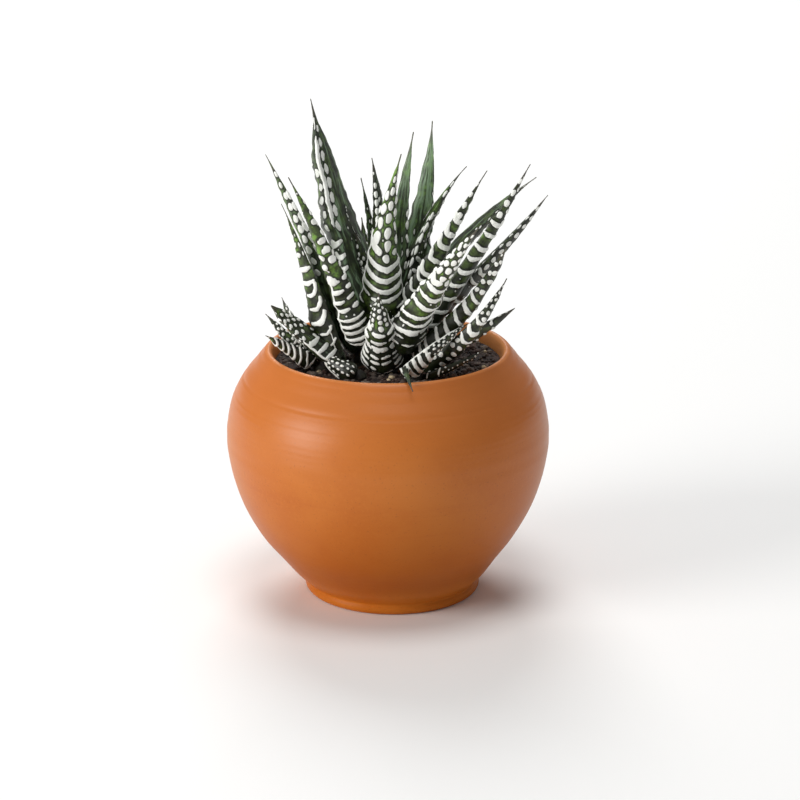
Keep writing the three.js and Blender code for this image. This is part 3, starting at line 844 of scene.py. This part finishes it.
def growLeaf(group, centre, shape, look, forms, seed, uvBox):
    draw = random.Random(seed)
    coarse = np.linspace(0, 1, blade["axisPoints"])
    axis, _, _, w = bladeAxis(centre, shape, coarse, look["spine"])
    lengths = np.concatenate([[0], np.cumsum(np.linalg.norm(np.diff(axis, axis=0), axis=1))])
    length = lengths[-1]
    rows = max(blade["fewestRows"], int(length / look["cell"]))
    backCols = max(blade["fewestBack"], int(w.max() * math.pi / 2 / look["cell"]))
    finer = blade["dressedCells"] if isDressed(forms) else blade["plainCells"]
    frontCols = max(blade["fewestFront"], int(w.max() / look["cell"] * finer) // 2 * 2)
    cols, rings = backCols + frontCols, rows + 1
    mesh, row, column = blankGrid(cols, rings)

    # Rows along the leaf; the first closes the root and the last the tip
    rowsY = np.concatenate([[0], np.linspace(0, length, rings)])
    s = np.interp(rowsY, lengths, coarse)
    axis, up, over, w = bladeAxis(centre, shape, s, look["spine"])
    sway, swaySpread = blade["edgeSway"]
    axis = axis + over * (sway * w * waves(rowsY, 0 * rowsY, draw, swaySpread))[:, None]
    wave, waveSpread = blade["edgeWave"]
    w = w * (1 + wave * waves(rowsY, 0 * rowsY, draw, waveSpread))

    section = crossSection(backCols, frontCols)
    halves = {"back": w * math.pi / 4, "front": w / 2}
    backMm, frontMm = skinAcross(section, halves)
    alongMm = np.repeat(rowsY[:, None], cols + 1, 1)
    wobble, spreadX, spreadY = blade["wobble"]
    wobbleX = wobble * waves(np.abs(backMm), alongMm, draw, spreadX)
    wobbleY = wobble * waves(np.abs(backMm), alongMm, draw, spreadY)
    grids = {"back": (backMm + wobbleX, alongMm + wobbleY), "front": (frontMm + wobbleX, alongMm + wobbleY)}
    field = markDepth(forms, length, rowsY, halves, grids, look["specks"], draw)

    # Marks stand up as low domes on a rippled skin
    dome = np.clip(field / blade["dome"], 0, 1)
    height = blade["relief"] * np.sqrt(1 - (1 - dome) ** 2)
    ripple, rippleSpread = blade["ripple"]
    furrow, furrowTurns = blade["furrow"]
    uneven = ripple * waves(np.abs(backMm), alongMm, draw, rippleSpread)
    uneven = uneven + furrow * np.cos(backMm * furrowTurns)
    fullWidth, least = blade["thinning"]
    height = (height + uneven) * np.clip(w / fullWidth, least, 1)[:, None]
    x = section["x"] * w[:, None] + section["outX"] * height
    y = section["y"] * w[:, None] + section["outY"] * height
    x[[0, -1]] = 0
    y[[0, -1]] = 0
    place = axis[:, None] - over[:, None] * x[..., None] + up[:, None] * y[..., None]
    mesh.vertices.foreach_set("co", (place[row, column] * mm).astype(np.float32).ravel())

    values = {"mark": field[row, column], "along": s[row], "across": section["x"][column] * 2,
              "face": section["isFront"][column]}
    values.update({name: np.full(len(row), look[name]) for name in ("tone", "grey", "streak")})
    for name, value in values.items():
        mesh.attributes.new(name, "FLOAT", "POINT").data.foreach_set("value", value.astype(np.float32))
    corner = np.empty(len(mesh.loops), np.int32)
    mesh.loops.foreach_get("vertex_index", corner)
    left, right, top = uvBox
    uv = np.stack([left + (right - left) * column / cols, top * row / rings], 1)[corner]
    mesh.uv_layers.new(name="OFBake").uv.foreach_set("vector", uv.astype(np.float32).ravel())
    group.from_mesh(mesh)
    bpy.data.meshes.remove(mesh)


# Leaves joined in one piece, side by side on the UV map
def growPiece(name, leaves, material, node, seed):
    group = bmesh.new()
    widths = np.cumsum([0] + [shape[8] for _, shape, _, _ in leaves])
    tallest = max(shape[1] + shape[2] for _, shape, _, _ in leaves)
    gap = 0.002
    for i, (centre, shape, look, forms) in enumerate(leaves):
        left, right = widths[i] / widths[-1] + gap, widths[i + 1] / widths[-1] - gap
        growLeaf(group, centre, shape, look, forms, seed + i, (left, right, (shape[1] + shape[2]) / tallest))
    seam = [v for v in group.verts if v.is_boundary]
    bmesh.ops.remove_doubles(group, verts=seam, dist=1e-7)
    bmesh.ops.recalc_face_normals(group, faces=group.faces)
    newPiece(name, group, material, node)


leafSkin = {
    "deep": rgb(30, 36, 18), "mid": rgb(62, 78, 32), "fresh": rgb(116, 158, 60),
    "silver": rgb(142, 170, 136), "white": rgb(252, 253, 248), "whiteGreyAndShade": rgb(222, 226, 214),
    "outline": rgb(18, 22, 10), "dry": rgb(78, 70, 60), "paintedRootShade": 0.6, "roughness": (0.4, 0.55),
    "bump": (0.25, 0.00015),
    # Streaks along the leaf: how often they change across it, along it and from leaf to leaf
    "lanes": {"across": 3.8, "along": 5.0, "tone": 9.0}, "cloudScale": 300, "fineScale": 2300,
    "whiteEdge": (-0.03, 0.06),
}


def leafMaterial():
    material, tree, place, shader = newMaterial("leafSkin")
    read = {name: addNode(tree, "Attribute", attribute_name=name).outputs["Fac"]
            for name in ("mark", "along", "across", "face", "tone", "grey", "streak")}
    parts = [maths(tree, "MULTIPLY", read[name], scale) for name, scale in leafSkin["lanes"].items()]
    lane = addNode(tree, "CombineXYZ", dict(zip("XYZ", parts))).outputs[0]
    lanes = noiseAt(tree, lane, 1.0, 4, 0.65)
    cloud = noiseAt(tree, place, leafSkin["cloudScale"], 3)
    fine = noiseAt(tree, place, leafSkin["fineScale"], 2)

    # Green, with painted shade darkening it towards the root, and furrows and silver streaks on the inner
    # face
    # The leaf's tone is partly painted light and shade: lighter on leaves in the light, darker on those in
    # shade
    level = maths(tree, "ADD", read["tone"], remap(tree, cloud, 0.3, 0.7, -0.42, 0.32))
    # painted shade: the green darkens towards the root, where the leaves shade one another
    level = maths(tree, "SUBTRACT", level, remap(tree, read["along"], 0.0, 0.65, leafSkin["paintedRootShade"], 0))
    inner = maths(tree, "MULTIPLY", read["streak"], read["face"])
    furrows = maths(tree, "MULTIPLY", remap(tree, lanes, 0.47, 0.36, 0, 0.75), inner)
    streaks = maths(tree, "MULTIPLY", remap(tree, lanes, 0.52, 0.62, 0, 0.9), inner)
    dull = maths(tree, "MULTIPLY", read["grey"], remap(tree, lanes, 0.4, 0.58, 0.05, 0.95))
    green = layered(tree, leafSkin, leafSkin["deep"], [
        (remap(tree, level, 0.1, 0.5), "mid"),
        (remap(tree, level, 0.5, 0.95), "fresh"),
        (furrows, "deep"), (streaks, "silver"), (dull, "silver"),
        # the dark rim is partly darker green and partly painted shade where the raised mark meets the skin
        (remap(tree, read["mark"], -0.9, -0.1, 0, 0.92), "outline"),  # a dark rim round each mark
        (remap(tree, read["along"], 0.86, 0.97, 0, 0.85), "dry"),  # the tip
    ])
    white = layered(tree, leafSkin, leafSkin["white"], [
        # grey-white as random mottling of the marks, and below as painted shade
        (remap(tree, cloud, 0.4, 0.75, 0, 0.5), "whiteGreyAndShade"),
        # painted shade: each white mark turns greyer towards its edge, where the dome curves away from the
        # light
        (remap(tree, read["mark"], 0.0, 0.2, 0.45, 0), "whiteGreyAndShade"),
    ])
    colour = mixColour(tree, remap(tree, read["mark"], *leafSkin["whiteEdge"]), green, white)
    setSocket(tree, shader.inputs["Base Color"], colour)
    roughness = remap(tree, read["mark"], *leafSkin["whiteEdge"], *leafSkin["roughness"])
    setSocket(tree, shader.inputs["Roughness"], roughness)
    height = maths(tree, "ADD", maths(tree, "MULTIPLY", fine, 0.6), lanes)
    addBump(tree, shader, height, *leafSkin["bump"])
    return material


# Low crowns that the leaves grow from: node, then each one's centre, radius and height in millimetres
stem = {
    "crownMain": ("rosette_main", [(mainCentre, 11, 15)]),
    "crownLeft": ("rosette_left", [(leftCentre, 3.6, 4), (shootCentre, 2.6, 2.6), (budCentre, 2.4, 2)]),
    "crownRight": ("rosette_right", [(rightCentre, 3, 3.2)]),
}
bark = {
    # Outline as shares of the radius and height
    "outline": [(0, 0), (1, 0), (0.99, 0.12), (0.96, 0.25), (0.86, 0.45), (0.72, 0.62), (0.55, 0.78),
                (0.35, 0.92), (0, 1)],
    "step": 0.5, "turns": 64, "rough": 0.55, "roughSpread": 1.3, "sunk": 1,
    "green": rgb(34, 34, 16), "tan": rgb(96, 60, 30), "dark": rgb(20, 15, 11),
    "cloudScale": 240, "patchScale": 120, "roughness": 0.7, "bump": (0.5, 0.0005),
}


def stemMaterial():
    material, tree, place, shader = newMaterial("stemSkin")
    cloud = noiseAt(tree, place, bark["cloudScale"], 4)
    patch = noiseAt(tree, place, bark["patchScale"], 2)
    colour = layered(tree, bark, bark["dark"], [
        (remap(tree, cloud, 0.4, 0.6), "green"),
        (remap(tree, patch, 0.6, 0.68), "tan"),
    ])
    setSocket(tree, shader.inputs["Base Color"], colour)
    shader.inputs["Roughness"].default_value = bark["roughness"]
    addBump(tree, shader, cloud, *bark["bump"])
    return material


def buildStem(name, crowns, material, node):
    group = bmesh.new()
    for centre, radius, height in crowns:
        foot, rise = plantBase - bark["sunk"], height + bark["sunk"]
        outline = [(r * radius, foot + h * rise) for r, h in bark["outline"]]
        part = turned(smoothRun(outline, bark["step"]), bark["turns"], centre)
        for v in part.verts:
            v.co += v.co.normalized() * bark["rough"] * mm * noise.noise(v.co / mm / bark["roughSpread"])
        mesh = asMesh(part, "blank")
        group.from_mesh(mesh)
        bpy.data.meshes.remove(mesh)
    newPiece(name, group, material, node)


def buildPlant():
    leafPaint = leafMaterial()
    for number, (name, leaves) in enumerate(mainLeaves.items()):
        growPiece(name, [(mainCentre, *leaf) for leaf in leaves], leafPaint, "rosette_main", 100 * number)
    growPiece("offsetLeft", leftOffset, leafPaint, "rosette_left", 700)
    growPiece("offsetRight", rightOffset, leafPaint, "rosette_right", 800)
    stemPaint = stemMaterial()
    for name, (node, crowns) in stem.items():
        buildStem(name, crowns, stemPaint, node)


# Studio: lights in millimetres and watts, floor in metres

studio = {
    "world": rgb(250, 251, 252), "worldStrength": 0.24, "aim": (0, 0, 80),
    "floor": rgb(250, 250, 249), "floorRoughness": 0.8, "floorRadius": 3, "floorSides": 96,
    "lights": [  # place, size, power, colour
        ("side", (-1700, -860, 680), 1100, 28, (1, 0.99, 0.97)),
        ("top", (0, -300, 2400), 1100, 17, (1, 1, 1)),
        ("back", (-300, 1900, 1900), 1500, 37, (1, 1, 1)),
    ],
}


def buildLights():
    world = bpy.data.worlds.new("studio")
    world.use_nodes = True
    sky = world.node_tree.nodes["Background"]
    sky.inputs["Color"].default_value = studio["world"]
    sky.inputs["Strength"].default_value = studio["worldStrength"]
    scene.world = world
    aim = Vector(studio["aim"]) * mm
    for name, place, size, power, colour in studio["lights"]:
        data = bpy.data.lights.new(name, "AREA")
        data.shape = "DISK"
        data.size = size * mm
        data.energy = power
        data.color = colour
        lamp = addObject(name, data)
        lamp.location = Vector(place) * mm
        lamp.rotation_euler = (aim - lamp.location).to_track_quat("-Z", "Y").to_euler()
    scene.view_settings.view_transform = "Standard"
    print("studio lit")


def buildFloor():
    bm = bmesh.new()
    bmesh.ops.create_circle(bm, cap_ends=True, segments=studio["floorSides"], radius=studio["floorRadius"])
    mesh = asMesh(bm, "floor")
    material, _, _, shader = newMaterial("paleFloor")
    shader.inputs["Base Color"].default_value = studio["floor"]
    shader.inputs["Roughness"].default_value = studio["floorRoughness"]
    mesh.materials.append(material)
    floor = addObject("floor", mesh)
    print("floor laid")


buildCamera()
buildPot()
buildSoil()
buildPlant()
buildLights()
buildFloor()
